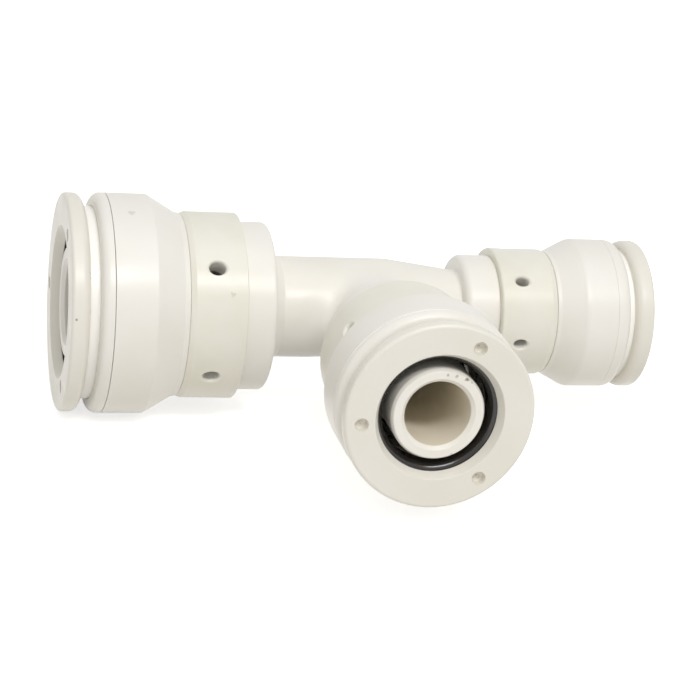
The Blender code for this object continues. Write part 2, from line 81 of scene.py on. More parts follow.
# Roundings of plain edges, from barely broken to soft
HAIR = 0.1
CRISP = 0.15
BROKEN = 0.2
SOFT = 0.3

# Levels of a noise between which a tint and a duller gloss come in
TINT_BAND = (0.35, 0.7)
GLOSS_BAND = (0.3, 0.7)

# How far red, green and blue light spread under a clear skin, in millimetres
LIGHT_SPREAD = (1.0, 1.0, 0.9)


class Slot(Enum):
    """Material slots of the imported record."""

    WHITE = "white_plastic"
    WINDOW = "window_plastic"
    SPACER = "spacer_plastic"
    RUBBER = "seal_rubber"
    STEEL = "grab_steel"


class Join(Enum):
    """Ways in which one closed shape acts on another."""

    CUT = "DIFFERENCE"
    ADD = "UNION"


def linear(code: str) -> tuple[float, float, float, float]:
    """Turns an sRGB hex colour into linear RGBA.

    Args:
        code: A colour such as "#ece8e0".

    Returns:
        Linear red, green, blue and an alpha of one.
    """
    channels = [int(code[i : i + 2], 16) / 255 for i in (1, 3, 5)]
    red, green, blue = [c / 12.92 if c <= 0.04045 else ((c + 0.055) / 1.055) ** 2.4 for c in channels]
    return red, green, blue, 1.0


def per_metre(size: float) -> float:
    """The noise scale that gives features of this size in millimetres."""
    return 1 / (size * MM)


def add_node(
    tree: bpy.types.NodeTree,
    kind: str,
    values: dict | None = None,
    links: dict | None = None,
    **settings: object,
) -> bpy.types.Node:
    """Adds a node with its settings, socket values and incoming links.

    Args:
        tree: The tree that takes the node.
        kind: Blender's name for the node type.
        values: Socket name or index to a constant value.
        links: Socket name or index to the output that feeds it.
        **settings: Properties of the node itself.

    Returns:
        The new node.
    """
    node = tree.nodes.new(kind)
    for name, setting in settings.items():
        setattr(node, name, setting)
    for key, value in (values or {}).items():
        node.inputs[key].default_value = value
    for key, source in (links or {}).items():
        tree.links.new(source, node.inputs[key])
    return node


class Mark(ABC):
    """Something that is laid over a piece's colour.

    Attributes:
        colour: The colour that it brings, sRGB.
    """

    colour: str

    @abstractmethod
    def share(self, tree: bpy.types.NodeTree, place: bpy.types.NodeSocket) -> bpy.types.NodeSocket:
        """How much of the mark shows at a place.

        Args:
            tree: The material's tree.
            place: Object coordinates.

        Returns:
            From 0 to 1.
        """

    def lay(
        self, tree: bpy.types.NodeTree, place: bpy.types.NodeSocket, colour: bpy.types.NodeSocket
    ) -> bpy.types.NodeSocket:
        """Lays the mark over a colour.

        Args:
            tree: The material's tree.
            place: Object coordinates.
            colour: The colour so far.

        Returns:
            The colour with the mark on it.
        """
        return add_node(
            tree,
            "ShaderNodeMix",
            {"B": linear(self.colour)},
            {"Factor": self.share(tree, place), "A": colour},
            data_type="RGBA",
        ).outputs[2]


@dataclass(frozen=True)
class Scuff(Mark):
    """A small ragged dark mark on the plastic.

    Attributes:
        place: Its middle, in metres in the frame.
        size: How far it reaches, in millimetres.
        depth: How dark its middle is, from 0 to 1.
        colour: What it darkens towards, sRGB.
        ragged: Size of the bumps of its edge, in millimetres.
        spread: How far the highest bump reaches, as a share of its size.
        fade: How far its edge fades, as a share of its size.
    """

    place: Vector
    size: float
    depth: float
    colour: str = "#4a443e"
    ragged: float = 0.8
    spread: float = 1.2
    fade: float = 0.35

    def share(self, tree: bpy.types.NodeTree, place: bpy.types.NodeSocket) -> bpy.types.NodeSocket:
        """How much of the mark shows: most at its middle, and none past its ragged edge.

        Args:
            tree: The material's tree.
            place: Object coordinates.

        Returns:
            From 0 to the mark's depth.
        """
        bumps = add_node(
            tree, "ShaderNodeTexNoise", {"Scale": per_metre(self.ragged), "Detail": 3.0}, {"Vector": place}
        )
        away = add_node(tree, "ShaderNodeVectorMath", {1: self.place}, {0: place}, operation="DISTANCE")
        reach = add_node(
            tree,
            "ShaderNodeMath",
            {1: self.size * MM * self.spread},
            {0: bumps.outputs["Fac"]},
            operation="MULTIPLY",
        )
        edge = add_node(
            tree,
            "ShaderNodeMath",
            {},
            {0: reach.outputs[0], 1: away.outputs["Value"]},
            operation="SUBTRACT",
        )
        return add_node(
            tree,
            "ShaderNodeMapRange",
            {"From Max": self.fade * self.size * MM, "To Max": self.depth},
            {"Value": edge.outputs[0]},
        ).outputs[0]


@dataclass(frozen=True)
class PaintedLight(Mark):
    """A stretch of painted light near a piece's axis, as along a bore or in a groove: colour that stands in
    for light or shade there.

    Attributes:
        centre: A point on the piece's axis, in metres.
        axis: The way of that axis.
        radius: Outside radius of the shade, in millimetres.
        start: Level along the axis where it starts, in millimetres.
        end: Level where it ends, in millimetres.
        fade: How far inside that radius it is full, in millimetres.
        depth: How full it is, from 0 to 1.
        colour: The painted light's colour, sRGB.
        end_fade: How far it fades either way from its start and its end, in millimetres.
    """

    centre: Vector
    axis: Vector
    radius: float
    start: float
    end: float
    fade: float = 0.25
    depth: float = 0.85
    colour: str = "#eddcb6"
    end_fade: float = 0.5

    def share(self, tree: bpy.types.NodeTree, place: bpy.types.NodeSocket) -> bpy.types.NodeSocket:
        """How much of the shade shows: by the distance from the axis, and then by the level along it.

        Args:
            tree: The material's tree.
            place: Object coordinates.

        Returns:
            From 0 to the shade's depth.
        """
        offset = add_node(tree, "ShaderNodeVectorMath", {1: self.centre}, {0: place}, operation="SUBTRACT")
        across = add_node(
            tree, "ShaderNodeVectorMath", {1: self.axis}, {0: offset.outputs[0]}, operation="CROSS_PRODUCT"
        )
        radius = add_node(tree, "ShaderNodeVectorMath", {}, {0: across.outputs[0]}, operation="LENGTH")
        share = add_node(
            tree,
            "ShaderNodeMapRange",
            {
                "From Min": self.radius * MM,
                "From Max": (self.radius - self.fade) * MM,
                "To Max": self.depth,
            },
            {"Value": radius.outputs["Value"]},
        ).outputs[0]
        level = add_node(
            tree, "ShaderNodeVectorMath", {1: self.axis}, {0: offset.outputs[0]}, operation="DOT_PRODUCT"
        )
        for edge, way in ((self.start, self.end_fade), (self.end, -self.end_fade)):
            inside = add_node(
                tree,
                "ShaderNodeMapRange",
                {"From Min": (edge - way) * MM, "From Max": (edge + way) * MM},
                {"Value": level.outputs["Value"]},
            )
            share = add_node(
                tree, "ShaderNodeMath", {}, {0: share, 1: inside.outputs[0]}, operation="MULTIPLY"
            ).outputs[0]
        return share


@dataclass(frozen=True)
class Finish:
    """A surface finish: what the material is and how it was made.

    Attributes:
        name: The material's common name and how it was made.
        slot: The record's slot for it; not used.
        colour: The main colour, sRGB.
        tint: The colour that patches drift towards, sRGB.
        roughness: Lowest and highest roughness over the surface.
        patch: Size of the colour patches, in millimetres.
        grain: Size of the mould's or tool's fine grain, in millimetres.
        relief: Height of that grain, in millimetres.
        ior: Index of refraction.
        metallic: One for a metal.
        subsurface: Share of light that passes under the surface.
        coat: Weight of a clear film such as grease.
    """

    name: str
    slot: Slot
    colour: str
    tint: str
    roughness: tuple[float, float]
    patch: float
    grain: float
    relief: float
    ior: float = 1.5
    metallic: float = 0.0
    subsurface: float = 0.0
    coat: float = 0.0

    def material(self, name: str, marks: tuple[Mark, ...] = ()) -> bpy.types.Material:
        """Builds the node material.

        Args:
            name: The material's name.
            marks: Marks and shades to lay over the colour.

        Returns:
            The new material.
        """
        material = bpy.data.materials.new(name)
        material.use_nodes = True
        tree = material.node_tree
        shader = tree.nodes["Principled BSDF"]
        place = add_node(tree, "ShaderNodeTexCoord").outputs["Object"]

        patches = add_node(
            tree, "ShaderNodeTexNoise", {"Scale": per_metre(self.patch), "Detail": 3.0}, {"Vector": place}
        )
        drift = add_node(
            tree,
            "ShaderNodeMapRange",
            {"From Min": TINT_BAND[0], "From Max": TINT_BAND[1]},
            {"Value": patches.outputs["Fac"]},
        )
        colour = add_node(
            tree,
            "ShaderNodeMix",
            {"A": linear(self.colour), "B": linear(self.tint)},
            {"Factor": drift.outputs["Result"]},
            data_type="RGBA",
        ).outputs[2]
        for mark in marks:
            colour = mark.lay(tree, place, colour)
        tree.links.new(colour, shader.inputs["Base Color"])

        low, high = self.roughness
        gloss = add_node(
            tree,
            "ShaderNodeTexNoise",
            {"Scale": per_metre(self.patch / 3), "Detail": 4.0},
            {"Vector": place},
        )
        rough = add_node(
            tree,
            "ShaderNodeMapRange",
            {"From Min": GLOSS_BAND[0], "From Max": GLOSS_BAND[1], "To Min": low, "To Max": high},
            {"Value": gloss.outputs["Fac"]},
        )
        tree.links.new(rough.outputs["Result"], shader.inputs["Roughness"])

        grain = add_node(
            tree, "ShaderNodeTexNoise", {"Scale": per_metre(self.grain), "Detail": 2.0}, {"Vector": place}
        )
        relief = add_node(
            tree,
            "ShaderNodeBump",
            {"Strength": 1.0, "Distance": self.relief * MM},
            {"Height": grain.outputs["Fac"]},
        )
        tree.links.new(relief.outputs["Normal"], shader.inputs["Normal"])

        shader.inputs["IOR"].default_value = self.ior
        shader.inputs["Metallic"].default_value = self.metallic
        shader.inputs["Subsurface Weight"].default_value = self.subsurface
        shader.inputs["Subsurface Radius"].default_value = LIGHT_SPREAD
        shader.inputs["Subsurface Scale"].default_value = MM
        shader.inputs["Coat Weight"].default_value = self.coat
        return material


# Polybutene, moulded: a warm cream-white with a satin skin; it carries the water
BODY = Finish(
    "moulded polybutene", Slot.WHITE, "#efece5", "#ebe7dc", (0.3, 0.4), patch=20, grain=0.7, relief=0.01
)
# Nylon, moulded: a cooler off-white with a slight sheen, faint grey patches and a fine spark-eroded grain
WHITE = Finish(
    "moulded nylon", Slot.WHITE, "#edeae3", "#e9e5db", (0.3, 0.4), patch=22, grain=0.7, relief=0.01
)
# Acetal copolymer, moulded: the release rings, a shade greyer than the casings and as smooth
RING = Finish(
    "moulded acetal copolymer", Slot.WHITE, "#e8e4da", "#e3dfd3", (0.32, 0.42), patch=22, grain=0.7,
    relief=0.01,
)
# Natural polypropylene, moulded: slightly clear, yellow-grey, with light spreading under its skin
WINDOW = Finish(
    "moulded natural polypropylene", Slot.WINDOW, "#e9e6db", "#e3e0d1", (0.28, 0.38), patch=16, grain=0.8,
    relief=0.01, subsurface=0.2,
)
# Acetal, moulded: duller and greyer than the outer pieces
SPACER = Finish(
    "moulded acetal", Slot.SPACER, "#cfcbc2", "#c6c1b6", (0.38, 0.5), patch=12, grain=0.6, relief=0.01
)
# EPDM rubber, moulded and greased: brown-black, with a wet film that gives long narrow glints
RUBBER = Finish(
    "moulded EPDM rubber", Slot.RUBBER, "#15110e", "#1c1713", (0.16, 0.26), patch=5, grain=0.9,
    relief=0.004, ior=1.52, coat=0.2,
)
# Stainless spring strip, stamped: bright, with a fine rolled grain
STEEL = Finish(
    "stamped stainless steel", Slot.STEEL, "#b9bab9", "#a9aaa8", (0.24, 0.38), patch=4, grain=0.3,
    relief=0.006, metallic=1.0,
)


@dataclass(frozen=True)
class Corner:
    """A corner of a turned outline.

    Attributes:
        radius: Distance from the axis, in millimetres.
        level: Distance along the axis, in millimetres.
        rounding: Radius of the arc that rounds it, or zero for a sharp one.
    """

    radius: float
    level: float
    rounding: float = 0.0

    @property
    def point(self) -> Vector:
        """The corner in the outline's plane."""
        return Vector((self.radius, self.level))


def outline(corners: list[Corner], closed: bool = True) -> list[Vector]:
    """Rounds the corners of an outline.

    Args:
        corners: The corners in order.
        closed: Whether the last corner joins the first.

    Returns:
        Points of (radius, level), with each rounded corner as an arc.
    """
    points: list[Vector] = []
    count = len(corners)
    for index, corner in enumerate(corners):
        if not corner.rounding or (not closed and index in (0, count - 1)):
            points.append(corner.point)
            continue
        before = (corners[index - 1].point - corner.point).normalized()
        after = (corners[(index + 1) % count].point - corner.point).normalized()
        half = before.angle(after) / 2
        middle = corner.point + (before + after).normalized() * corner.rounding / math.sin(half)
        first = corner.point + before * corner.rounding / math.tan(half) - middle
        last = corner.point + after * corner.rounding / math.tan(half) - middle
        turn = math.copysign(math.pi - 2 * half, first.x * last.y - first.y * last.x)
        steps = max(2, round(CORNER_STEPS * abs(turn) / (math.pi / 2)))
        for step in range(steps + 1):
            points.append(middle + Matrix.Rotation(turn * step / steps, 2) @ first)
    return points


def evenly(count: int, first: float = 0.0) -> list[float]:
    """Angles spaced evenly round a circle, in degrees.

    Args:
        count: How many.
        first: The first one.

    Returns:
        The angles in order.
    """
    return [first + 360 * index / count for index in range(count)]


@cache
def node_box(node: str) -> tuple[Vector, Vector]:
    """Lowest and highest corner of a CAD node, worked out once."""
    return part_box(node)


def deselect_all() -> None:
    """Leaves nothing selected, so that an operator acts only on a new piece."""
    bpy.ops.object.select_all(action="DESELECT")


def pick(obj: bpy.types.Object) -> None:
    """Makes one object the only selected one and the active one.

    Args:
        obj: The object.
    """
    deselect_all()
    obj.select_set(True)
    bpy.context.view_layer.objects.active = obj


def clean(obj: bpy.types.Object) -> None:
    """Merges doubled points of a mesh and turns its faces outwards.

    Args:
        obj: The object that has the mesh.
    """
    pick(obj)
    bpy.ops.object.mode_set(mode="EDIT")
    bpy.ops.mesh.select_all(action="SELECT")
    bpy.ops.mesh.remove_doubles(threshold=WELD * MM)
    bpy.ops.mesh.normals_make_consistent(inside=False)
    bpy.ops.object.mode_set(mode="OBJECT")
    shape = bmesh.new()
    shape.from_mesh(obj.data)
    if shape.calc_volume(signed=True) < 0:
        obj.data.flip_normals()
    shape.free()


def apply_modifier(obj: bpy.types.Object, kind: str, **settings: object) -> None:
    """Adds a modifier and applies it.

    Args:
        obj: The object that takes it.
        kind: Blender's name for the modifier type.
        **settings: Properties of the modifier.
    """
    pick(obj)
    modifier = obj.modifiers.new(kind.title(), kind)
    for name, setting in settings.items():
        setattr(modifier, name, setting)
    bpy.ops.object.modifier_apply(modifier=modifier.name)


def combine(obj: bpy.types.Object, others: list[bpy.types.Object], way: Join) -> None:
    """Cuts closed shapes from an object or adds them, and removes the shapes.

    Args:
        obj: The object that is changed.
        others: The shapes that act on it, clear of one another.
        way: Whether they cut or add.
    """
    pick(others[0])
    for other in others:
        other.select_set(True)
    if len(others) > 1:
        bpy.ops.object.join()
    apply_modifier(obj, "BOOLEAN", operation=way.value, solver="EXACT", object=others[0])
    bpy.data.objects.remove(others[0], do_unlink=True)


@dataclass
class Socket:
    """One socket: the sizes that the frame doesn't show, and those that it does.

    Attributes:
        name: The start of its nodes' names.
        centre: Where the three sockets' axes meet, in metres in the frame.
        outwards: The way that it faces.
        pipe_d: Outside diameter of the pipe that it takes.
        nipple_d: Outside diameter of the nipple inside the pipe.
        bore_d: Diameter of the waterway.
        neck_d: Outside diameter of the tee's neck behind the collar.
        collar_d: Diameter of the tee's collar.
        collar_length: Length of that collar.
        cone_length: Length of the casing's taper.
        cone_land: Length of the level land at the end of that taper.
        cone_round: Rounding where the taper leaves the barrel.
        casing_lap: How far that land reaches over the window sleeve.
        seal_pocket: Room for the mouth seal round the pipe's way.
        sights: How many sight holes the window sleeve has.
        sight_level: Their distance from the collar.
        sight_turn: The first one's angle from the top, in degrees.
        sight: Length and width of a sight hole.
        band_round: Rounding of the window sleeve's back edge.
        seam_gap: Width of the hairline between the cap and the casing.
        seam_round: Rounding of the edges beside that hairline.
        cap_lip: How far the cap's shoulder stands out towards the flange.
        groove: Depth of the groove between the flange and the cap.
        lip_flare: How much the mouth's lip widens outwards.
        collar_round: Rounding of the collar's back edge.
        shoulder: Length and height of the shoulder behind the collar.
    """

    name: str
    centre: Vector
    outwards: Vector
    pipe_d: float
    nipple_d: float
    bore_d: float
    neck_d: float
    collar_d: float
    collar_length: float
    cone_length: float
    cone_land: float
    cone_round: float
    casing_lap: float
    seal_pocket: float
    sights: int
    sight_level: float
    sight_turn: float
    sight: tuple[float, float]
    band_round: float
    seam_gap: float
    seam_round: float
    cap_lip: float
    groove: float
    lip_flare: float
    collar_round: float
    shoulder: tuple[float, float]

    def span(self, node: str) -> tuple[float, float]:
        """Where one of this socket's CAD nodes starts and ends along the axis.

        Args:
            node: The node's name, without the socket's.

        Returns:
            Its lowest and highest level, in millimetres.
        """
        corners = node_box(f"{self.name}_{node}")
        levels = [(corner - self.centre).dot(self.outwards) / MM for corner in corners]
        return min(levels), max(levels)

    def reach(self, node: str) -> float:
        """Outside radius of one of this socket's CAD nodes, in millimetres."""
        low, high = node_box(f"{self.name}_{node}")
        return (high.z - low.z) / 2 / MM

    def spoke(self, turn: float) -> Vector:
        """The way from the axis at an angle from the top, in degrees, about the way that the socket faces."""
        return Matrix.Rotation(math.radians(turn), 3, self.outwards) @ UP

    def point(self, radius: float, level: float, turn: float = 0.0) -> Vector:
        """A place in the frame.

        Args:
            radius: Distance from the axis, in millimetres.
            level: Distance along the axis, in millimetres.
            turn: Angle from the top about the way that the socket faces, in degrees.

        Returns:
            The point, in metres.
        """
        return self.centre + (self.outwards * level + self.spoke(turn) * radius) * MM

    def turned(
        self, name: str, points: list[Vector], closed: bool = True, steps: int = STEPS
    ) -> bpy.types.Object:
        """Extrudes an outline point by point and spins it about the socket's axis.

        Args:
            name: The new object's name.
            points: The outline, as (radius, level).
            closed: Whether the outline is a loop, for a ring, or ends on the axis.
            steps: Steps of the spin.

        Returns:
            The new object, at the origin.
        """
        places = [self.point(*point) for point in points]
        deselect_all()
        bpy.ops.mesh.primitive_plane_add(size=MM, location=places[0])
        obj = bpy.context.active_object
        obj.name = obj.data.name = name
        bpy.ops.object.transform_apply(location=True, rotation=True, scale=True)
        bpy.ops.object.mode_set(mode="EDIT")
        bpy.ops.mesh.merge(type="CENTER")
        for here, there in zip(places, places[1:]):
            bpy.ops.mesh.extrude_vertices_move(TRANSFORM_OT_translate={"value": there - here})
        if closed:
            shape = bmesh.from_edit_mesh(obj.data)
            shape.verts.ensure_lookup_table()
            shape.verts[0].select_set(True)
            bmesh.update_edit_mesh(obj.data)
            bpy.ops.mesh.edge_face_add()
        bpy.ops.mesh.select_all(action="SELECT")
        bpy.ops.mesh.spin(steps=steps, angle=math.tau, center=self.centre, axis=self.outwards)
        bpy.ops.object.mode_set(mode="OBJECT")
        clean(obj)
        return obj

    @property
    def way_r(self) -> float:
        """Radius of the pipe's way in."""
        return self.pipe_d / 2 + PIPE_CLEARANCE

    @property
    def face(self) -> float:
        """Level of the flange's face."""
        return self.span("release_ring")[1]

    @property
    def collar_face(self) -> float:
        """Level of the collar's face, where the window sleeve starts."""
        return self.span("window_sleeve")[0] - FIT

    @property
    def collar_back(self) -> float:
        """Level of the collar's back."""
        return self.collar_face - self.collar_length


def smooth_shading(obj: bpy.types.Object, angle: float = 34.0) -> None:
    """Shades a mesh smooth over soft corners, with flats kept flat.

    Args:
        obj: The object.
        angle: Corners sharper than this stay sharp, in degrees.
    """
    pick(obj)
    bpy.ops.object.shade_smooth_by_angle(angle=math.radians(angle))
    apply_modifier(obj, "WEIGHTED_NORMAL", keep_sharp=True, weight=60)


def settle(
    obj: bpy.types.Object, finish: Finish, body: str, node: str, marks: tuple[Mark, ...] = ()
) -> None:
    """Dresses a finished piece and fixes it to the frame.

    Args:
        obj: The piece.
        finish: Its finish.
        body: The CAD body that it rides on.
        node: The CAD node that it stands for.
        marks: Marks and shades on it.
    """
    smooth_shading(obj)
    obj.data.materials.clear()
    obj.data.materials.append(finish.material(f"{obj.name}: {finish.name}", marks))
    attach(obj, body)
    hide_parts(node)
    LOG.info("%s: %s, %d faces", obj.name, finish.name, len(obj.data.polygons))


@dataclass
class SocketPieces:
    """All that is fitted to one socket: window sleeve, casing, cap, release ring, seals and grab ring.

    Attributes:
        socket: The socket.
        flange_rim: Width of the flange's level rim.
        flange_back: Length of the rounded back of the flange.
        flange_edge: Rounding of the flange's front edge.
        groove_gap: Hairline round the hub where it enters the cap.
        floor_light_rise: How far above the groove's floor its painted light reaches.
        hub_reach: How far the hub dips into the cap.
        sleeve_wall: Wall of the release sleeve.
        lip_depth: Length of the lip over the mouth seal.
        lip_edge: Rounding of the lip where it meets the flange's face.
        barb_rise: Height of the barb that holds the ring in the cap.
        barb_lead: Chamfer of that barb.
        barb_hold: Overlap of the barb and the cap.
        travel: How far the release ring moves.
        cap_round: Rounding of the cap's shoulder.
        cap_edge: Rounding of the cap's edge round the hub.
        cap_skirt: Wall of the cap's skirt.
        cone_step: How far the taper's end lies under the window sleeve.
        land_rise: How much the land at that end widens towards the taper.
        land_round: Rounding where the land meets the taper.
        web: Thickness of the casing's inner web.
        window_step: Depth of the tenon under the window sleeve's surface.
        collar_gap: Hairline between the window sleeve and the collar.
        casing_gap: Hairline between the window sleeve and the casing.
        window_lead: Length of the chamfer at the window sleeve's front edge.
        window_chamfer: Depth of that chamfer.
        window_shoulder: Rounding where it meets the sleeve's surface.
        skin: Depth under the window sleeve's surface where the painted light in its sight holes starts.
        sight_flare: Rounding of a sight hole's edge.
        sight_reach: How far along the sleeve the painted light of a sight hole reaches from its middle.
        seal_squeeze: How far the mouth seal reaches into the pipe's place.
        seal_rounds: Roundings of the seal's inner edge, at the front and at the back.
        sheet: Thickness of the grab ring's sheet.
        tooth_root: Depth of the teeth, from the pipe's way to where they bend.
        tooth_bite: How far their tips reach into the pipe's place.
        tooth_slope: How steeply they slope, in degrees.
        tooth_pitch: Their spacing where they bend.
        tooth_gap: Width of the slots between them.
        tooth_bend: Rounding where they bend.
        tooth_edge: Rounding of the edge that bites.
        dimple: Diameter, depth and inset of a gate dimple.
        dimple_floor: Its floor's share of the diameter, and the rounding of that floor.
        dimples: How many dimples the flange has.
        dimple_turn: The first one's angle from the top, in degrees.
        nub: Diameter, height and top's share of the diameter, of the vestige in a dimple.
    """

    socket: Socket
    flange_rim: float = 2.6
    flange_back: float = 2.2
    flange_edge: float = 0.9
    groove_gap: float = 0.06
    floor_light_rise: float = 0.15
    hub_reach: float = 0.3
    sleeve_wall: float = 1.4
    lip_depth: float = 2.6
    lip_edge: float = 0.25
    barb_rise: float = 3.2
    barb_lead: float = 0.7
    barb_hold: float = 0.9
    travel: float = 1.2
    cap_round: float = 2.1
    cap_edge: float = 0.12
    cap_skirt: float = 1.0
    cone_step: float = 0.45
    land_rise: float = 0.25
    land_round: float = 1.6
    web: float = 2.0
    window_step: float = 2.2
    collar_gap: float = 0.02
    casing_gap: float = 0.04
    window_lead: float = 1.3
    window_chamfer: float = 0.6
    window_shoulder: float = 0.8
    skin: float = 0.3
    sight_flare: float = 0.8
    sight_reach: float = 3.2
    seal_squeeze: float = 0.9
    seal_rounds: tuple[float, float] = (1.9, 0.4)
    sheet: float = 0.8
    tooth_root: float = 2.4
    tooth_bite: float = 0.25
    tooth_slope: float = 35.0
    tooth_pitch: float = 8.0
    tooth_gap: float = 1.5
    tooth_bend: float = 0.6
    tooth_edge: float = 0.08
    dimple: tuple[float, float, float] = (3.3, 1.8, 4.35)
    dimple_floor: tuple[float, float] = (0.84, 0.5)
    dimples: int = 3
    dimple_turn: float = -24.0
    nub: tuple[float, float, float] = (0.7, 0.3, 0.6)

    @property
    def release_body(self) -> str:
        """The CAD body of the release ring and its seal."""
        return f"{self.socket.name}_release"

    @property
    def pocket_r(self) -> float:
        """Outside radius of the seal's pocket."""
        return self.socket.way_r + self.socket.seal_pocket

    @property
    def sleeve_r(self) -> float:
        """Outside radius of the release sleeve."""
        return self.pocket_r + self.sleeve_wall

    @property
    def cap_bore_r(self) -> float:
        """Radius of the cap's bore."""
        return self.sleeve_r + SLIDE

    @property
    def skirt_r(self) -> float:
        """Inside radius of the cap's skirt."""
        return self.cap_bore_r + self.barb_hold

    @property
    def plug_r(self) -> float:
        """Outside radius of the cap's skirt, and of what lies under it."""
        return self.skirt_r + self.cap_skirt

    @property
    def chamber_r(self) -> float:
        """Inside radius of the casing."""
        return self.plug_r + FIT

    @property
    def hub_r(self) -> float:
        """Radius of the groove's floor."""
        return self.socket.reach("release_ring") - self.socket.groove

    @property
    def tooth_root_r(self) -> float:
        """Radius at which the teeth bend down."""
        return self.socket.way_r + self.tooth_root

    def tooth_drop(self, radius: float) -> float:
        """How far the sloping teeth lie under the grab ring's flat at this radius."""
        return (self.tooth_root_r - radius) * math.tan(math.radians(self.tooth_slope))

    def window_sleeve(self, marks: tuple[Scuff, ...] = ()) -> None:
        """The translucent sleeve, with a rounded back edge and flared sight holes.

        Args:
            marks: Dark marks on it.
        """
        socket = self.socket
        tenon_front = socket.span("window_sleeve")[1]
        back = socket.collar_face + self.collar_gap
        front = socket.span("casing")[0] - socket.casing_lap - self.casing_gap
        outer = socket.reach("window_sleeve")
        tenon = outer - self.window_step
        spigot_r = socket.way_r + SPIGOT_WALL + FIT
        spigot_front = socket.collar_face + SPIGOT_LENGTH + FIT
        points = outline([
            Corner(socket.way_r, tenon_front, SOFT),
            Corner(tenon, tenon_front, SOFT),
            Corner(tenon, front, HAIR),
            Corner(outer - self.window_chamfer, front, BROKEN),
            Corner(outer, front - self.window_lead, self.window_shoulder),
            Corner(outer, back, socket.band_round),
            Corner(spigot_r, back),
            Corner(spigot_r, spigot_front),
            Corner(socket.way_r, spigot_front),
        ])
        sleeve = socket.turned(f"{socket.name}_window_band", points)
        level = socket.collar_face + socket.sight_level
        turns = evenly(socket.sights, socket.sight_turn)
        combine(sleeve, [self.sight_cutter(outer, level, turn) for turn in turns], Join.CUT)
        # Painted light: the sight holes' sides, and everything deeper than the sleeve's skin beside them, are
        # painted paler and less yellow to lighten the shade inside the holes
        painted_hole_light = PaintedLight(
            socket.centre,
            socket.outwards,
            radius=outer - self.skin,
            start=level - self.sight_reach,
            end=level + self.sight_reach,
            fade=self.skin,
            depth=1.0,
            colour="#eae8e2",
        )
        settle(sleeve, WINDOW, "fitting", f"{socket.name}_window_sleeve", (painted_hole_light, *marks))

    def sight_cutter(self, outer: float, level: float, turn: float) -> bpy.types.Object:
        """A flared oval plug that leaves a sight hole with a soft edge.

        Args:
            outer: Outside radius of the sleeve.
            level: Where the hole is along the socket.
            turn: Its angle from the top, in degrees.

        Returns:
            The cutter, in place.
        """
        socket = self.socket
        length, width = socket.sight
        depth = outer - socket.way_r + OVERCUT
        angles = [step / CORNER_STEPS * math.pi / 2 for step in range(CORNER_STEPS + 1)]
        widths = [1 + 2 * self.sight_flare * (1 - math.cos(angle)) / width for angle in angles]
        deselect_all()
        bpy.ops.mesh.primitive_circle_add(vertices=SIGHT_STEPS, radius=0.5, fill_type="NGON")
        cutter = bpy.context.active_object
        bpy.ops.object.mode_set(mode="EDIT")
        bpy.ops.mesh.extrude_region_move(TRANSFORM_OT_translate={"value": (0, 0, depth - self.sight_flare)})
        for step in range(CORNER_STEPS):
            rise = self.sight_flare * (math.sin(angles[step + 1]) - math.sin(angles[step]))
            widen = widths[step + 1] / widths[step]
            bpy.ops.mesh.extrude_region_move(TRANSFORM_OT_translate={"value": (0, 0, rise)})
            bpy.ops.transform.resize(value=(widen, widen, 1))
        bpy.ops.mesh.extrude_region_move(TRANSFORM_OT_translate={"value": (0, 0, OVERCUT)})
        bpy.ops.object.mode_set(mode="OBJECT")
        spoke = socket.spoke(turn)
        turn_to = Matrix((socket.outwards, spoke.cross(socket.outwards), spoke)).transposed().to_4x4()
        size = Matrix.Diagonal((length, width, 1, 1))
        cutter.data.transform(turn_to @ Matrix.Diagonal((MM, MM, MM, 1)) @ size)
        cutter.data.transform(Matrix.Translation(socket.point(outer - depth, level, turn)))
        clean(cutter)
        return cutter

    def casing(self, marks: tuple[Scuff, ...] = ()) -> None:
        """The outer casing: a level barrel, a taper and a short land against the window sleeve.

        Args:
            marks: Dark marks on it.
        """
        socket = self.socket
        back, seam = socket.span("casing")
        outer = socket.reach("casing")
        cone_front = back - FIT + socket.cone_length
        back -= socket.casing_lap
        window_r = socket.reach("window_sleeve")
        land_r = window_r - self.cone_step
        tenon = window_r - self.window_step + FIT
        web_back = socket.span("window_sleeve")[1] + FIT
        points = outline([
            Corner(self.chamber_r, seam, CRISP),
            Corner(outer, seam, socket.seam_round),
            Corner(outer, cone_front, socket.cone_round),
            Corner(land_r + self.land_rise, back + socket.cone_land, self.land_round),
            Corner(land_r, back, SOFT),
            Corner(tenon, back, CRISP),
            Corner(tenon, web_back),
            Corner(socket.way_r, web_back, SOFT),
            Corner(socket.way_r, web_back + self.web, SOFT),
            Corner(self.chamber_r, web_back + self.web),
        ])
        casing = socket.turned(f"{socket.name}_casing_shell", points)
        settle(casing, WHITE, "fitting", f"{socket.name}_casing", marks)

    def cap(self) -> None:
        """The cap that closes the casing, with a rounded shoulder."""
        socket = self.socket
        back, front = socket.span("cap")
        seam = socket.span("casing")[1] + socket.seam_gap
        outer = socket.reach("cap")
        recess_r = self.hub_r + self.groove_gap
        recess_floor = front - self.hub_reach - self.travel - FIT
        step = back + self.barb_rise + FIT
        points = outline([
            Corner(recess_r, front + socket.cap_lip, self.cap_edge),
            Corner(outer, front + socket.cap_lip, self.cap_round),
            Corner(outer, seam, socket.seam_round),
            Corner(self.plug_r, seam, HAIR),
            Corner(self.plug_r, back, BROKEN),
            Corner(self.skirt_r, back, BROKEN),
            Corner(self.skirt_r, step, CRISP),
            Corner(self.cap_bore_r, step, CRISP),
            Corner(self.cap_bore_r, recess_floor, CRISP),
            Corner(recess_r, recess_floor, CRISP),
        ])
        cap = socket.turned(f"{socket.name}_end_cap", points)
        settle(cap, WHITE, "fitting", f"{socket.name}_cap")

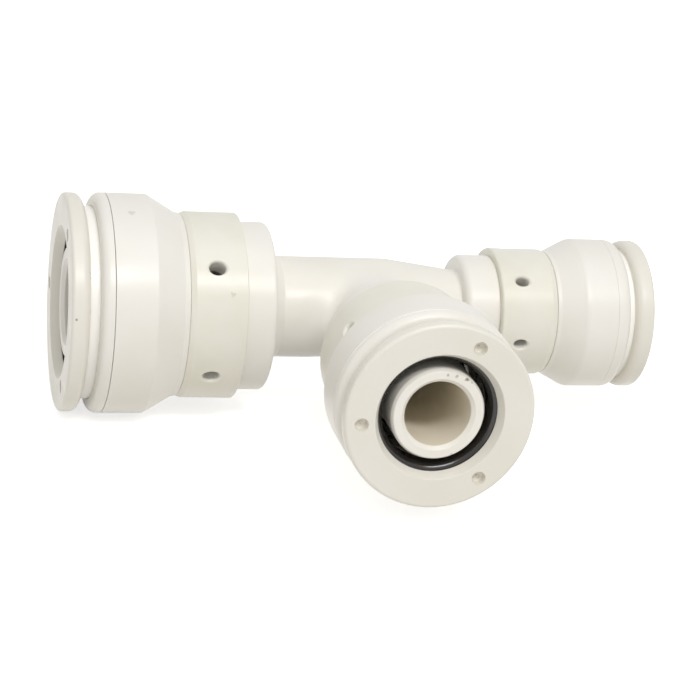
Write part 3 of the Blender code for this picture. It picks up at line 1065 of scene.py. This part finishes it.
    def release_ring(self, marks: tuple[Scuff, ...] = ()) -> None:
        """The release ring: a round-backed flange on a barbed sleeve, with gate dimples in its face.

        Args:
            marks: Dark marks on it.
        """
        socket = self.socket
        face = socket.face
        flange_r = socket.reach("release_ring")
        rim_back = face - self.flange_rim
        cap_back, cap_front = socket.span("cap")
        hub_back = cap_front - self.hub_reach
        barb_front = cap_back + self.barb_rise
        barb_r = self.skirt_r - SLIDE
        nose = cap_back + self.travel
        lip_back = face - self.lip_depth
        seal_back = socket.span("mouth_seal")[0] - FIT
        way_nose = nose - self.tooth_drop(socket.way_r)
        corners = [
            Corner(socket.way_r + socket.lip_flare, face, self.lip_edge),
            Corner(flange_r, face, self.flange_edge),
        ]
        steps = 2 * CORNER_STEPS
        for step in range(steps):
            angle = step / steps * math.pi / 2
            bulge = socket.groove * math.cos(angle)
            corners.append(Corner(self.hub_r + bulge, rim_back - self.flange_back * math.sin(angle)))
        corners += [
            Corner(self.hub_r, rim_back - self.flange_back),
            Corner(self.hub_r, hub_back, CRISP),
            Corner(self.sleeve_r, hub_back, HAIR),
            Corner(self.sleeve_r, barb_front, HAIR),
            Corner(barb_r, barb_front, CRISP),
            Corner(barb_r, nose + self.barb_lead, BROKEN),
            Corner(barb_r - self.barb_lead, nose, BROKEN),
            Corner(self.tooth_root_r, nose, SOFT),
            Corner(socket.way_r, way_nose, BROKEN),
            Corner(socket.way_r, seal_back),
            Corner(self.pocket_r, seal_back, BROKEN),
            Corner(self.pocket_r, lip_back, BROKEN),
            Corner(socket.way_r, lip_back, BROKEN),
        ]
        ring = socket.turned(f"{socket.name}_release_flange", outline(corners))
        turns = evenly(self.dimples, self.dimple_turn)
        combine(ring, [self.dimple_cutter(turn) for turn in turns], Join.CUT)
        # Painted light: the hub between the cap and the flange, up to just above the groove's floor, is
        # painted near-white to lighten it where the groove shades it
        floor = PaintedLight(
            socket.centre,
            socket.outwards,
            radius=self.hub_r + self.floor_light_rise,
            start=hub_back,
            end=rim_back - self.flange_back,
            fade=0.05,
            depth=1.0,
            colour="#f7f5f0",
        )
        settle(ring, RING, self.release_body, f"{socket.name}_release_ring", (floor, *marks))

    def dimple_cutter(self, turn: float) -> bpy.types.Object:
        """A short plug that leaves a steep dimple with a nub in its middle.

        Args:
            turn: The dimple's angle from the top, in degrees.

        Returns:
            The cutter, in place.
        """
        socket = self.socket
        wide, deep, inset = self.dimple
        floor_share, floor_round = self.dimple_floor
        nub_wide, nub_high, nub_share = self.nub
        base = socket.face - deep
        points = outline([
            Corner(0, base + nub_high),
            Corner(nub_wide / 2 * nub_share, base + nub_high, HAIR),
            Corner(nub_wide / 2, base, HAIR),
            Corner(wide / 2 * floor_share, base, floor_round),
            Corner(wide / 2, socket.face, HAIR),
            Corner(wide / 2, socket.face + OVERCUT),
            Corner(0, socket.face + OVERCUT),
        ], closed=False)
        cutter = socket.turned("dimple_cutter", points, closed=False, steps=DIMPLE_STEPS)
        middle = socket.point(socket.way_r + inset, socket.face, turn)
        cutter.data.transform(Matrix.Translation(middle - socket.point(0, socket.face)))
        return cutter

    def mouth_seal(self) -> None:
        """The rubber seal at the mouth: a thick bead with a round inner edge."""
        socket = self.socket
        back, front = socket.span("mouth_seal")
        outer = socket.reach("mouth_seal")
        inner = socket.pipe_d / 2 - self.seal_squeeze
        front_round, back_round = self.seal_rounds
        points = outline([
            Corner(inner, front, front_round),
            Corner(outer, front, SOFT),
            Corner(outer, back, SOFT),
            Corner(inner, back, back_round),
        ])
        seal = socket.turned(f"{socket.name}_seal_bead", points)
        settle(seal, RUBBER, self.release_body, f"{socket.name}_mouth_seal")

    def o_rings(self) -> None:
        """The two O-rings on the nipple, with round sections."""
        for place in ("inner", "outer"):
            node = f"o_ring_{place}"
            low, high = self.socket.span(node)
            section = (high - low) / 2
            middle = self.socket.reach(node) - section
            points = []
            for step in range(CORD_STEPS):
                angle = math.tau * step / CORD_STEPS
                around = Vector((math.cos(angle), math.sin(angle)))
                points.append(Vector((middle, (low + high) / 2)) + around * section)
            ring = self.socket.turned(f"{self.socket.name}_o_ring_{place}_cord", points, steps=RING_STEPS)
            settle(ring, RUBBER, "fitting", f"{self.socket.name}_{node}")

    def spacer(self) -> None:
        """The spacer that backs the grab ring's teeth."""
        socket = self.socket
        back, front = socket.span("spacer")
        points = outline([
            Corner(self.tooth_root_r, front, SOFT),
            Corner(self.plug_r, front, BROKEN),
            Corner(self.plug_r, back, SOFT),
            Corner(socket.way_r, back, SOFT),
            Corner(socket.way_r, front - self.tooth_drop(socket.way_r), BROKEN),
        ])
        spacer = socket.turned(f"{socket.name}_tooth_rest", points, steps=RING_STEPS)
        settle(spacer, SPACER, "fitting", f"{socket.name}_spacer")

    def grab_ring(self) -> None:
        """The stamped grab ring, slotted into sloping teeth."""
        socket = self.socket
        front = socket.span("grab_ring")[1]
        back = front - self.sheet
        tip_r = socket.pipe_d / 2 - self.tooth_bite
        drop = self.tooth_drop(tip_r)
        points = outline([
            Corner(self.tooth_root_r, front, self.tooth_bend),
            Corner(self.plug_r, front, CRISP),
            Corner(self.plug_r, back, CRISP),
            Corner(self.tooth_root_r, back, self.tooth_bend),
            Corner(tip_r, back - drop, self.tooth_edge),
            Corner(tip_r, front - drop, BROKEN),
        ])
        ring = socket.turned(f"{socket.name}_grab_teeth", points, steps=RING_STEPS)
        teeth = round(math.tau * self.tooth_root_r / self.tooth_pitch)
        inner = tip_r - OVERCUT
        low = back - drop - OVERCUT
        high = front + OVERCUT
        size = Matrix.Diagonal(((self.tooth_root_r - inner) * MM, self.tooth_gap * MM, (high - low) * MM, 1))
        slots = []
        for turn in evenly(teeth):
            deselect_all()
            bpy.ops.mesh.primitive_cube_add(size=1)
            slot = bpy.context.active_object
            spoke = socket.spoke(turn)
            turn_to = Matrix((spoke, socket.outwards.cross(spoke), socket.outwards)).transposed().to_4x4()
            middle = socket.point((inner + self.tooth_root_r) / 2, (low + high) / 2, turn)
            slot.data.transform(Matrix.Translation(middle) @ turn_to @ size)
            slots.append(slot)
        combine(ring, slots, Join.CUT)
        settle(ring, STEEL, "fitting", f"{socket.name}_grab_ring")

    def build(self, marks: dict[str, tuple[Scuff, ...]]) -> None:
        """Builds every piece of the socket.

        Args:
            marks: Piece name to the dark marks on it.
        """
        self.o_rings()
        self.window_sleeve(marks.get("window_sleeve", ()))
        self.spacer()
        self.grab_ring()
        self.casing(marks.get("casing", ()))
        self.cap()
        self.release_ring(marks.get("release_ring", ()))
        self.mouth_seal()


@dataclass
class TeeBody:
    """The moulded tee: three nipples and collars on a run and a branch that blend in a soft crotch.

    Attributes:
        large: The large socket.
        branch: The branch.
        small: The small socket.
        collar_edge: Rounding of each collar's front edge.
        neck_round: Rounding where a collar's shoulder meets the neck.
        taper_start: Where the run starts to narrow, from the centre.
        taper_round: Rounding of the bore where it starts and stops narrowing.
        mesh_step: Spacing of the rings along the necks.
        crotch_inner: How near the saddle the smoothing is full.
        crotch_outer: How far from the saddle it ends.
        crotch_start: How far in front of the run's axis it is full.
        crotch_passes: How many times the crotch is smoothed.
        nipple_lead: Length of the lead at the nipple's tip.
        nipple_chamfer: Depth of that lead.
        nipple_round: Rounding where the lead ends.
        mouth_chamfer: Chamfer of the bore's mouth.
        mouth_round: Rounding where that chamfer ends.
        o_ring_groove: Depth of an O-ring's groove.
        warm_start: Level in the branch's bore where its painted warm light starts.
        warm_wall: How far that painted light reaches into the wall.
    """

    large: Socket
    branch: Socket
    small: Socket
    collar_edge: float = 0.12
    neck_round: float = 0.6
    taper_start: float = 5.0
    taper_round: float = 1.5
    mesh_step: float = 0.6
    crotch_inner: float = 2.5
    crotch_outer: float = 8.5
    crotch_start: float = 3.0
    crotch_passes: int = 160
    nipple_lead: float = 0.9
    nipple_chamfer: float = 0.5
    nipple_round: float = 0.5
    mouth_chamfer: float = 0.9
    mouth_round: float = 0.4
    o_ring_groove: float = 1.5
    warm_start: float = -7.75
    warm_wall: float = 0.1

    def nipple_tip(self, socket: Socket) -> float:
        """Where a nipple ends, from the tee body's own box.

        Args:
            socket: The nipple's socket.

        Returns:
            The level of its tip, in millimetres.
        """
        low, high = node_box("tee_body")
        corner = high if max(socket.outwards) > 0 else low
        return (corner - socket.centre).dot(socket.outwards) / MM

    def socket_outline(self, socket: Socket) -> list[Vector]:
        """Half of a turned outline: from the nipple's tip on the axis to the neck behind the collar.

        Args:
            socket: The socket.

        Returns:
            Points of (radius, level), in order.
        """
        tip = self.nipple_tip(socket)
        nipple_r = socket.nipple_d / 2
        groove_r = nipple_r - self.o_ring_groove
        face = socket.collar_face
        spigot_front = face + SPIGOT_LENGTH
        spigot_r = socket.way_r + SPIGOT_WALL
        collar_r = socket.collar_d / 2
        neck_r = socket.neck_d / 2
        shoulder_length, shoulder_height = socket.shoulder
        corners = [
            Corner(0, tip),
            Corner(nipple_r - self.nipple_chamfer, tip, SOFT),
            Corner(nipple_r, tip - self.nipple_lead, self.nipple_round),
        ]
        for place in ("outer", "inner"):
            low, high = socket.span(f"o_ring_{place}")
            corners += [
                Corner(nipple_r, high + FIT, HAIR),
                Corner(groove_r, high + FIT, BROKEN),
                Corner(groove_r, low - FIT, BROKEN),
                Corner(nipple_r, low - FIT, HAIR),
            ]
        corners += [
            Corner(nipple_r, face, SOFT),
            Corner(socket.way_r, face, BROKEN),
            Corner(socket.way_r, spigot_front, BROKEN),
            Corner(spigot_r, spigot_front, BROKEN),
            Corner(spigot_r, face, HAIR),
            Corner(collar_r, face, self.collar_edge),
            Corner(collar_r, socket.collar_back, socket.collar_round),
            Corner(neck_r + shoulder_height, socket.collar_back, BROKEN),
            Corner(neck_r, socket.collar_back - shoulder_length, self.neck_round),
            Corner(neck_r, 0),
        ]
        return outline(corners, closed=False)[:-1]

    def ringed(self, start: Vector, end: Vector) -> list[Vector]:
        """Points spaced along a stretch of neck, without its ends, so that the crotch has mesh to bend."""
        count = max(1, round((end - start).length / self.mesh_step))
        return [start.lerp(end, step / count) for step in range(1, count)]

    def run(self) -> bpy.types.Object:
        """The run, from one nipple's tip to the other, without its bore.

        Returns:
            The new object.
        """
        near = self.socket_outline(self.small)
        far = [Vector((point.x, -point.y)) for point in reversed(self.socket_outline(self.large))]
        taper = Vector((self.large.neck_d / 2, self.taper_start))
        neck = self.ringed(near[-1], taper) + [taper] + self.ringed(taper, far[0])
        return self.small.turned("tee_moulding", near + neck + far, closed=False)

    def branch_stub(self) -> bpy.types.Object:
        """The branch, from its nipple's tip to the run's axis, without its bore.

        Returns:
            The new object.
        """
        near = self.socket_outline(self.branch)
        root = Vector((self.branch.neck_d / 2, 0))
        points = near + self.ringed(near[-1], root) + [root, Vector((0, 0))]
        return self.branch.turned("branch_stub", points, closed=False)

    def run_radius(self, along: float) -> float:
        """The run's outside radius, which narrows towards the small socket.

        Args:
            along: Distance from the centre towards that socket, in millimetres.

        Returns:
            The radius there, in millimetres.
        """
        end = self.small.collar_back - self.small.shoulder[0]
        share = min(max((along - self.taper_start) / (end - self.taper_start), 0), 1)
        return (self.large.neck_d + (self.small.neck_d - self.large.neck_d) * share) / 2

    def soften_crotch(self, body: bpy.types.Object) -> None:
        """Smooths the saddle where the branch leaves the run into a wide fillet.

        Args:
            body: The run with the branch added.
        """
        group = body.vertex_groups.new(name="crotch")
        for vertex in body.data.vertices:
            place = (vertex.co - self.branch.centre) / MM
            if place.y > 0 or abs(place.x) > self.small.collar_back or -place.y > self.branch.collar_back:
                continue
            off_run = abs(math.hypot(place.y, place.z) - self.run_radius(place.x))
            off_branch = abs(math.hypot(place.x, place.z) - self.branch.neck_d / 2)
            away = max(off_run, off_branch)
            share = (self.crotch_outer - away) / (self.crotch_outer - self.crotch_inner)
            share = min(max(share, 0), 1) * min(-place.y / self.crotch_start, 1)
            weight = share * share * (3 - 2 * share)
            if weight > 0:
                group.add([vertex.index], weight, "REPLACE")
        apply_modifier(body, "SMOOTH", factor=0.5, iterations=self.crotch_passes, vertex_group=group.name)
        body.vertex_groups.clear()

    def mouth(self, socket: Socket) -> list[Corner]:
        """Half of a bore's outline: a chamfered mouth past the nipple's tip, then the bore.

        Args:
            socket: The socket.

        Returns:
            The corners, from the axis inwards.
        """
        tip = self.nipple_tip(socket)
        bore_r = socket.bore_d / 2
        mouth_r = bore_r + self.mouth_chamfer
        return [
            Corner(0, tip + OVERCUT),
            Corner(mouth_r, tip + OVERCUT),
            Corner(mouth_r, tip, BROKEN),
            Corner(bore_r, tip - self.mouth_chamfer, self.mouth_round),
        ]

    def build(self, marks: tuple[Scuff, ...]) -> None:
        """Builds the tee and fixes it to the frame.

        Args:
            marks: Dark marks on it.
        """
        body = self.run()
        combine(body, [self.branch_stub()], Join.ADD)
        clean(body)
        self.soften_crotch(body)

        far = [Corner(c.radius, -c.level, c.rounding) for c in reversed(self.mouth(self.large))]
        taper = [
            Corner(self.small.bore_d / 2, self.small.collar_back, self.taper_round),
            Corner(self.large.bore_d / 2, self.taper_start, self.taper_round),
        ]
        ends = [Corner(self.branch.bore_d / 2, 0), Corner(0, 0)]
        for socket, inwards in ((self.small, taper + far), (self.branch, ends)):
            points = outline(self.mouth(socket) + inwards, closed=False)
            bore = socket.turned(f"{socket.name}_bore", points, closed=False, steps=RING_STEPS)
            combine(body, [bore], Join.CUT)
        # Painted light: the branch's bore is tinted warm, standing in for the warm light that passes through
        # and bounces inside the plastic
        warm = PaintedLight(
            self.branch.centre,
            self.branch.outwards,
            radius=self.branch.bore_d / 2 + self.warm_wall,
            start=self.warm_start,
            end=self.branch.face,
        )
        settle(body, BODY, "fitting", "tee_body", (warm, *marks))


@dataclass
class Studio:
    """The floor, the lamps and the camera.

    Attributes:
        target: The tee's centre.
        azimuth: The camera's way round, in degrees.
        elevation: Its height above the horizon, in degrees.
        roll: How far it is tilted, in degrees.
        distance: How far it stands from the tee's centre, in millimetres.
        aside: How far it is moved sideways and upwards in its own frame, in millimetres.
        lens: Its focal length, in millimetres.
        floor_radius: The floor's radius, in metres.
        floor_colour: The floor's colour, sRGB.
        floor_glow: Light that the floor adds for rays that show the background.
        fill: Strength of the white room's light on the object.
    """

    target: Vector
    azimuth: float = -14.94
    elevation: float = 19.46
    roll: float = 5.99
    distance: float = 579.8
    aside: tuple[float, float] = (-3.69, -10.75)
    lens: float = 116.85
    floor_radius: float = 3.0
    floor_colour: str = "#eae8e5"
    floor_glow: float = 0.68
    fill: float = 0.45

    @staticmethod
    def towards(azimuth: float, elevation: float) -> Vector:
        """The way from the tee to a place round it; an azimuth of zero is in front of the branch.

        Args:
            azimuth: The way round, in degrees.
            elevation: The height above the horizon, in degrees.

        Returns:
            A unit vector.
        """
        around = math.radians(azimuth)
        above = math.radians(elevation)
        flat = math.cos(above)
        return Vector((math.sin(around) * flat, -math.cos(around) * flat, math.sin(above)))

    def camera(self) -> None:
        """Stands the camera at the photograph's viewing angle."""
        tilt = math.radians(self.roll)
        back = self.towards(self.azimuth, self.elevation)
        level = UP.cross(back).normalized()
        top = back.cross(level)
        right = level * math.cos(tilt) + top * math.sin(tilt)
        up = top * math.cos(tilt) - level * math.sin(tilt)
        place = self.target + (back * self.distance + right * self.aside[0] + up * self.aside[1]) * MM
        data = bpy.data.cameras.new("photo_camera")
        data.lens = self.lens
        data.clip_start = 0.01
        camera = bpy.data.objects.new("photo_camera", data)
        camera.matrix_world = Matrix.Translation(place) @ Matrix((right, up, back)).transposed().to_4x4()
        bpy.context.scene.collection.objects.link(camera)
        bpy.context.scene.camera = camera

    def lamp(
        self, name: str, way: tuple[float, float], distance: float, size: tuple[float, float], power: float
    ) -> None:
        """Hangs one soft oblong lamp that faces the tee.

        Args:
            name: The lamp's name.
            way: Its way round and its height above the horizon, in degrees.
            distance: How far it hangs from the tee, in metres.
            size: Its width and height, in metres.
            power: Its power, in watts.
        """
        data = bpy.data.lights.new(name, "AREA")
        data.shape = "RECTANGLE"
        data.size, data.size_y = size
        data.energy = power
        lamp = bpy.data.objects.new(name, data)
        back = self.towards(*way)
        facing = back.to_track_quat("Z", "Y").to_matrix().to_4x4()
        lamp.matrix_world = Matrix.Translation(self.target + back * distance) @ facing
        bpy.context.scene.collection.objects.link(lamp)

    def floor(self) -> None:
        """Lays a wide pale floor that keeps the object's shadow."""
        deselect_all()
        bpy.ops.mesh.primitive_circle_add(vertices=RING_STEPS, radius=self.floor_radius, fill_type="NGON")
        floor = bpy.context.active_object
        floor.name = "studio_floor"
        material = bpy.data.materials.new("matt white board")
        material.use_nodes = True
        tree = material.node_tree
        shader = tree.nodes["Principled BSDF"]
        shader.inputs["Base Color"].default_value = linear(self.floor_colour)
        shader.inputs["Roughness"].default_value = 0.9
        shader.inputs["Specular IOR Level"].default_value = 0.1
        glow = add_node(
            tree, "ShaderNodeMath", {1: self.floor_glow}, {0: self.seen(tree)}, operation="MULTIPLY"
        )
        tree.links.new(glow.outputs["Value"], shader.inputs["Emission Strength"])
        shader.inputs["Emission Color"].default_value = (1, 1, 1, 1)
        floor.data.materials.append(material)

    @staticmethod
    def seen(tree: bpy.types.NodeTree) -> bpy.types.NodeSocket:
        """Tells the rays that show the background: from the camera, off gloss or through glass.

        Args:
            tree: The tree of the floor's material or of the world.

        Returns:
            One for those rays and zero for all others.
        """
        path = add_node(tree, "ShaderNodeLightPath")
        glossy = add_node(
            tree,
            "ShaderNodeMath",
            {},
            {0: path.outputs["Is Camera Ray"], 1: path.outputs["Is Glossy Ray"]},
            operation="MAXIMUM",
        )
        return add_node(
            tree,
            "ShaderNodeMath",
            {},
            {0: glossy.outputs["Value"], 1: path.outputs["Is Transmission Ray"]},
            operation="MAXIMUM",
        ).outputs["Value"]

    def world(self) -> None:
        """Fills the scene with soft white light, and shows a white background."""
        world = bpy.data.worlds.new("white_room")
        world.use_nodes = True
        tree = world.node_tree
        level = add_node(
            tree, "ShaderNodeMapRange", {"To Min": self.fill, "To Max": 1.0}, {"Value": self.seen(tree)}
        )
        tree.links.new(level.outputs["Result"], tree.nodes["Background"].inputs["Strength"])
        tree.nodes["Background"].inputs["Color"].default_value = (1, 1, 1, 1)
        bpy.context.scene.world = world

    def build(self) -> None:
        """Builds the studio."""
        self.floor()
        self.world()
        self.lamp("soft_key", way=(6, 47), distance=1.1, size=(0.6, 0.15), power=5.1)
        self.lamp("top_fill", way=(10, 76), distance=1.3, size=(0.9, 0.9), power=3.1)
        self.lamp("side_fill", way=(-85, 15), distance=1.2, size=(0.7, 0.5), power=0.6)
        self.camera()
        bpy.context.scene.view_settings.view_transform = "Standard"


def tee_centre() -> Vector:
    """Where the three axes meet, from the casings' boxes.

    Returns:
        The point, in metres.
    """
    run_low, run_high = node_box("large_casing")
    side_low, side_high = node_box("branch_casing")
    run = (run_low + run_high) / 2
    side = (side_low + side_high) / 2
    return Vector((side.x, run.y, run.z))


def sockets(centre: Vector) -> dict[str, Socket]:
    """The three sockets.

    Args:
        centre: Where their axes meet.

    Returns:
        Socket name to socket.
    """
    large = Socket(
        name="large", centre=centre, outwards=Vector((-1, 0, 0)),
        pipe_d=34.0, nipple_d=27.8, bore_d=20.0, neck_d=25.5,
        collar_d=42.2, collar_length=7.7, collar_round=1.0, shoulder=(3.4, 2.2),
        cone_length=8.3, cone_land=1.4, cone_round=0.9, casing_lap=0.5,
        sights=5, sight_level=7.6, sight_turn=-48.5, sight=(4.1, 3.4), band_round=0.35,
        seam_gap=0.12, seam_round=0.12, cap_lip=0.0,
        seal_pocket=3.35, groove=3.2, lip_flare=1.6,
    )
    branch = Socket(
        name="branch", centre=centre, outwards=Vector((0, -1, 0)),
        pipe_d=27.0, nipple_d=22.0, bore_d=15.6, neck_d=22.6,
        collar_d=34.0, collar_length=8.5, collar_round=1.8, shoulder=(1.5, 1.5),
        cone_length=5.1, cone_land=1.0, cone_round=0.9, casing_lap=0.0,
        sights=5, sight_level=11.7, sight_turn=56.0, sight=(4.4, 3.4), band_round=0.35,
        seam_gap=0.22, seam_round=0.4, cap_lip=0.0,
        seal_pocket=2.05, groove=3.2, lip_flare=1.25,
    )
    small = Socket(
        name="small", centre=centre, outwards=Vector((1, 0, 0)),
        pipe_d=22.0, nipple_d=17.6, bore_d=12.4, neck_d=20.6,
        collar_d=28.5, collar_length=8.8, collar_round=1.8, shoulder=(0.3, 0.3),
        cone_length=7.4, cone_land=1.0, cone_round=3.2, casing_lap=0.0,
        sights=6, sight_level=5.7, sight_turn=43.0, sight=(3.5, 2.5), band_round=0.6,
        seam_gap=0.03, seam_round=0.05, cap_lip=1.0,
        seal_pocket=1.2, groove=2.2, lip_flare=1.0,
    )
    return {socket.name: socket for socket in (large, branch, small)}


def wear(large: Socket, branch: Socket) -> dict[str, tuple[Scuff, ...]]:
    """The small scuffs that show on the large socket and on the branch's nipple.

    Args:
        large: The large socket.
        branch: The branch.

    Returns:
        Piece name to its scuffs.
    """
    tan = "#a8967c"
    return {
        "tee_body": (
            Scuff(branch.point(10.4, 73.4, -32.5), size=1.0, depth=0.75),
            Scuff(branch.point(10.0, 73.4, -18.5), size=0.9, depth=0.4),
            Scuff(branch.point(9.8, 73.4, -6.0), size=0.7, depth=0.45),
            Scuff(branch.point(10.5, 73.3, -41.0), size=0.7, depth=0.35),
            Scuff(branch.point(10.8, 73.0, -157.0), size=1.3, depth=0.45),
        ),
        "release_ring": (
            Scuff(large.point(25.4, 73.9, -55.5), size=0.9, depth=0.55),
            Scuff(large.point(25.2, 73.7, -58.0), size=0.9, depth=0.6),
            Scuff(large.point(25.2, 73.6, -76.5), size=1.3, depth=0.25),
            Scuff(large.point(27.0, 76.8, -80.0), size=0.6, depth=0.65),
        ),
        "casing": (Scuff(large.point(27.3, 62.7, -18.0), size=1.6, depth=0.3, colour=tan),),
        "window_sleeve": (Scuff(large.point(23.3, 38.6, -65.0), size=1.4, depth=0.3, colour=tan),),
    }


def main() -> None:
    """Builds the tee, its sockets' pieces and the studio, in that order."""
    logging.basicConfig(level=logging.INFO, format="%(message)s")
    centre = tee_centre()
    named = sockets(centre)
    marks = wear(named["large"], named["branch"])
    TeeBody(**named).build(marks["tee_body"])
    for socket in named.values():
        SocketPieces(socket).build(marks if socket.name == "large" else {})
    Studio(centre).build()


if __name__ == "__main__":
    main()
